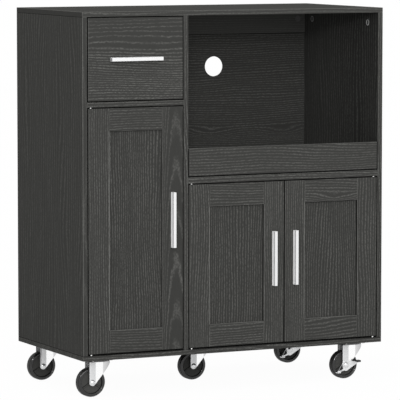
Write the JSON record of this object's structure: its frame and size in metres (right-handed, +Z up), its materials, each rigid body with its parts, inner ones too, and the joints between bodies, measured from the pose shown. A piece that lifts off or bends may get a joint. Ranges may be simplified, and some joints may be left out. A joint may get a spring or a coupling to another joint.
{
  "type": "microwave cabinet",
  "caption": "Dark wood-grain kitchen cabinet on swivel casters, with a drawer, framed doors and an open microwave niche above a lipped pull-out tray.",
  "frame": {"origin": "centre of the bounding box's bottom face, on the floor under the wheels", "axes": "+X to the right seen from the front, +Y to the back, +Z up; doors and drawer face -Y"},
  "size_m": [0.8, 0.413, 0.914],
  "materials": {
    "dark_wood": "matte embossed grain",
    "handle_aluminium": "satin",
    "zinc_steel": "bright zinc plate",
    "nickel_steel": "nickel plate",
    "wheel_rubber": "moulded, half gloss",
    "black_plastic": "matte"
  },
  "bodies": {
    "cabinet": {"top_panel": "dark_wood", "bottom_panel": "dark_wood", "left_side_panel": "dark_wood", "right_side_panel": "dark_wood", "divider_panel": "dark_wood", "drawer_shelf": "dark_wood", "microwave_shelf": "dark_wood", "rear_rail": "dark_wood", "left_back_panel": "dark_wood", "right_back_panel": "dark_wood", "left_inner_shelf": "dark_wood", "right_inner_shelf": "dark_wood", "shelf_pins": "nickel_steel", "cam_fittings": "nickel_steel", "door_pivot_pins": "nickel_steel", "magnetic_catches": "black_plastic", "drawer_rails": "zinc_steel", "tray_rails": "zinc_steel", "caster_plates": "zinc_steel", "caster_screws": "nickel_steel"},
    "drawer": {"drawer_front": "dark_wood", "drawer_sides": "dark_wood", "drawer_back": "dark_wood", "drawer_bottom": "dark_wood", "drawer_handle": "handle_aluminium", "drawer_hardware": "zinc_steel"},
    "tray": {"tray_front": "dark_wood", "tray_board": "dark_wood", "tray_slides": "zinc_steel"},
    "left_door": {"left_door_frame": "dark_wood", "left_door_panel": "dark_wood", "left_door_handle": "handle_aluminium", "left_door_fittings": "nickel_steel"},
    "centre_door": {"centre_door_frame": "dark_wood", "centre_door_panel": "dark_wood", "centre_door_handle": "handle_aluminium", "centre_door_fittings": "nickel_steel"},
    "right_door": {"right_door_frame": "dark_wood", "right_door_panel": "dark_wood", "right_door_handle": "handle_aluminium", "right_door_fittings": "nickel_steel"},
    "caster_front_left_swivel": {"caster_front_left_fork": "zinc_steel", "caster_front_left_axle": "zinc_steel"},
    "caster_front_left_roller": {"caster_front_left_wheel": "wheel_rubber"},
    "caster_front_right_swivel": {"caster_front_right_fork": "zinc_steel", "caster_front_right_axle": "zinc_steel"},
    "caster_front_right_roller": {"caster_front_right_wheel": "wheel_rubber"},
    "caster_front_right_brake": {"caster_front_right_brake_lever": "zinc_steel", "caster_front_right_brake_pedal": "black_plastic"},
    "caster_rear_left_swivel": {"caster_rear_left_fork": "zinc_steel", "caster_rear_left_axle": "zinc_steel"},
    "caster_rear_left_roller": {"caster_rear_left_wheel": "wheel_rubber"},
    "caster_rear_right_swivel": {"caster_rear_right_fork": "zinc_steel", "caster_rear_right_axle": "zinc_steel"},
    "caster_rear_right_roller": {"caster_rear_right_wheel": "wheel_rubber"},
    "caster_rear_right_brake": {"caster_rear_right_brake_lever": "zinc_steel", "caster_rear_right_brake_pedal": "black_plastic"},
    "caster_centre_swivel": {"caster_centre_fork": "zinc_steel", "caster_centre_axle": "zinc_steel"},
    "caster_centre_roller": {"caster_centre_wheel": "wheel_rubber"}
  },
  "joints": [
    {"name": "drawer_slide", "type": "slide", "parent": "cabinet", "child": "drawer", "axis": [0, -1, 0], "range_m": [0, 0.25]},
    {"name": "tray_slide", "type": "slide", "parent": "cabinet", "child": "tray", "axis": [0, -1, 0], "range_m": [0, 0.25]},
    {"name": "left_door_hinge", "type": "hinge", "parent": "cabinet", "child": "left_door", "pos_m": [-0.378, -0.1885, 0.3], "axis": [0, 0, -1], "range_deg": [0, 100]},
    {"name": "centre_door_hinge", "type": "hinge", "parent": "cabinet", "child": "centre_door", "pos_m": [-0.116, -0.1885, 0.3], "axis": [0, 0, -1], "range_deg": [0, 100]},
    {"name": "right_door_hinge", "type": "hinge", "parent": "cabinet", "child": "right_door", "pos_m": [0.378, -0.1885, 0.3], "axis": [0, 0, 1], "range_deg": [0, 100]},
    {"name": "caster_front_left_turn", "type": "hinge", "parent": "cabinet", "child": "caster_front_left_swivel", "pos_m": [-0.3405, -0.1435, 0.086], "axis": [0, 0, 1], "continuous": true},
    {"name": "caster_front_left_spin", "type": "hinge", "parent": "caster_front_left_swivel", "child": "caster_front_left_roller", "pos_m": [-0.3605, -0.1435, 0.035], "axis": [0, 1, 0], "continuous": true},
    {"name": "caster_front_right_turn", "type": "hinge", "parent": "cabinet", "child": "caster_front_right_swivel", "pos_m": [0.3405, -0.1435, 0.086], "axis": [0, 0, 1], "continuous": true},
    {"name": "caster_front_right_spin", "type": "hinge", "parent": "caster_front_right_swivel", "child": "caster_front_right_roller", "pos_m": [0.3205, -0.1435, 0.035], "axis": [0, 1, 0], "continuous": true},
    {"name": "caster_front_right_brake_rock", "type": "hinge", "parent": "caster_front_right_swivel", "child": "caster_front_right_brake", "pos_m": [0.3205, -0.1435, 0.035], "axis": [0, 1, 0], "range_deg": [0, 25]},
    {"name": "caster_rear_left_turn", "type": "hinge", "parent": "cabinet", "child": "caster_rear_left_swivel", "pos_m": [-0.3405, 0.1565, 0.086], "axis": [0, 0, 1], "continuous": true},
    {"name": "caster_rear_left_spin", "type": "hinge", "parent": "caster_rear_left_swivel", "child": "caster_rear_left_roller", "pos_m": [-0.3605, 0.1565, 0.035], "axis": [0, 1, 0], "continuous": true},
    {"name": "caster_rear_right_turn", "type": "hinge", "parent": "cabinet", "child": "caster_rear_right_swivel", "pos_m": [0.3405, 0.1565, 0.086], "axis": [0, 0, 1], "continuous": true},
    {"name": "caster_rear_right_spin", "type": "hinge", "parent": "caster_rear_right_swivel", "child": "caster_rear_right_roller", "pos_m": [0.3205, 0.1565, 0.035], "axis": [0, 1, 0], "continuous": true},
    {"name": "caster_rear_right_brake_rock", "type": "hinge", "parent": "caster_rear_right_swivel", "child": "caster_rear_right_brake", "pos_m": [0.3205, 0.1565, 0.035], "axis": [0, 1, 0], "range_deg": [0, 25]},
    {"name": "caster_centre_turn", "type": "hinge", "parent": "cabinet", "child": "caster_centre_swivel", "pos_m": [-0.005, 0.0015, 0.086], "axis": [0, 0, 1], "continuous": true},
    {"name": "caster_centre_spin", "type": "hinge", "parent": "caster_centre_swivel", "child": "caster_centre_roller", "pos_m": [-0.025, 0.0015, 0.035], "axis": [0, 1, 0], "continuous": true}
  ]
}
